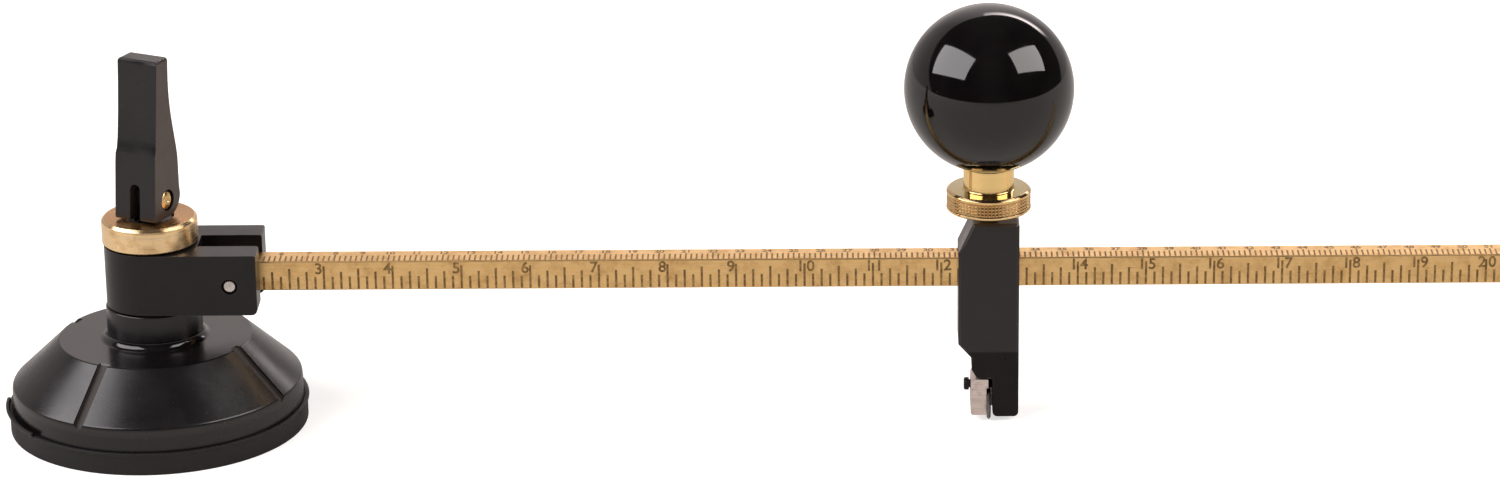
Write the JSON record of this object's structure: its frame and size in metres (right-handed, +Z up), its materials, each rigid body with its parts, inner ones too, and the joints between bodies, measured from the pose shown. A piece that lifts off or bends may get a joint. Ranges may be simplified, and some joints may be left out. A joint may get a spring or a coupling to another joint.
{
  "type": "circle cutter",
  "caption": "Glass circle cutter: suction foot with a cam lever, swivelling arm, hinged square bar with a scale, and a sliding wheel head with a clamp screw and ball knob.",
  "frame": {"origin": "centre of the suction cup's underside, on the axis that the arm swivels about", "axes": "+X runs out along the graduated bar, +Z up out of the glass, +Y to the tool's back"},
  "size_m": [0.3352, 0.0556, 0.0802],
  "materials": {
    "moulded_rubber": "matte",
    "moulded_plastic": "semi-gloss",
    "lever_plastic": "matte",
    "black_paint": "satin",
    "drawn_brass": "satin, drawn and worn",
    "turned_brass": "turned, fine",
    "bright_steel": "bright",
    "blackened_steel": "black oxide",
    "gloss_black": "polished",
    "nylon": "matte"
  },
  "bodies": {
    "base": {"rubber_cup": "moulded_rubber", "base_housing": "moulded_plastic", "pivot_sleeve": "bright_steel", "base_nut": "bright_steel", "lower_washer": "nylon", "upper_washer": "bright_steel", "collar_nut": "turned_brass"},
    "rod": {"pull_rod": "blackened_steel", "foot_plate": "bright_steel"},
    "lever": {"lock_lever": "lever_plastic", "lever_pin": "turned_brass"},
    "arm": {"arm_block": "black_paint", "arm_bush": "turned_brass", "hinge_pin": "bright_steel"},
    "beam": {"scale_bar": "drawn_brass"},
    "head": {"head_block": "black_paint", "wheel_holder": "bright_steel", "holder_screw": "blackened_steel", "wheel_axle": "bright_steel"},
    "wheel": {"cutting_wheel": "bright_steel"},
    "pad": {"clamp_pad": "turned_brass"},
    "screw": {"clamp_screw": "turned_brass", "knob_stud": "bright_steel"},
    "knob": {"ball_knob": "gloss_black", "knob_bush": "turned_brass"}
  },
  "joints": [
    {"name": "rod_lift", "type": "slide", "parent": "base", "child": "rod", "axis": [0, 0, 1], "range_m": [0, 0.00105]},
    {"name": "lever_fold", "type": "hinge", "parent": "rod", "child": "lever", "pos_m": [0, 0, 0.04415], "axis": [-0.9033, 0.4289, 0], "range_deg": [0, 82.8]},
    {"name": "arm_swivel", "type": "hinge", "parent": "base", "child": "arm", "pos_m": [0, 0, 0.0295], "axis": [0, 0, 1], "continuous": true},
    {"name": "beam_tilt", "type": "hinge", "parent": "arm", "child": "beam", "pos_m": [0.0152, 0, 0.0295], "axis": [0, -1, 0], "range_deg": [-5, 90]},
    {"name": "head_slide", "type": "slide", "parent": "beam", "child": "head", "axis": [1, 0, 0], "range_m": [-0.1177, 0.145]},
    {"name": "wheel_spin", "type": "hinge", "parent": "head", "child": "wheel", "pos_m": [0.1552, -0.0022, 0.00305], "axis": [1, 0, 0], "continuous": true},
    {"name": "pad_lift", "type": "slide", "parent": "head", "child": "pad", "axis": [0, 0, 1], "range_m": [0, 0.00072]},
    {"name": "screw_turn", "type": "hinge", "parent": "pad", "child": "screw", "pos_m": [0.1551, 0, 0.0432], "axis": [0, 0, 1], "range_deg": [0, 360]},
    {"name": "knob_spin", "type": "hinge", "parent": "screw", "child": "knob", "pos_m": [0.1551, 0, 0.0645], "axis": [0, 0, 1], "continuous": true}
  ],
  "couplings": [
    {"joint": "rod_lift", "follows": "lever_fold", "m_per_rad": 0.00069198},
    {"joint": "pad_lift", "follows": "screw_turn", "m_per_rad": 0.00011141}
  ]
}
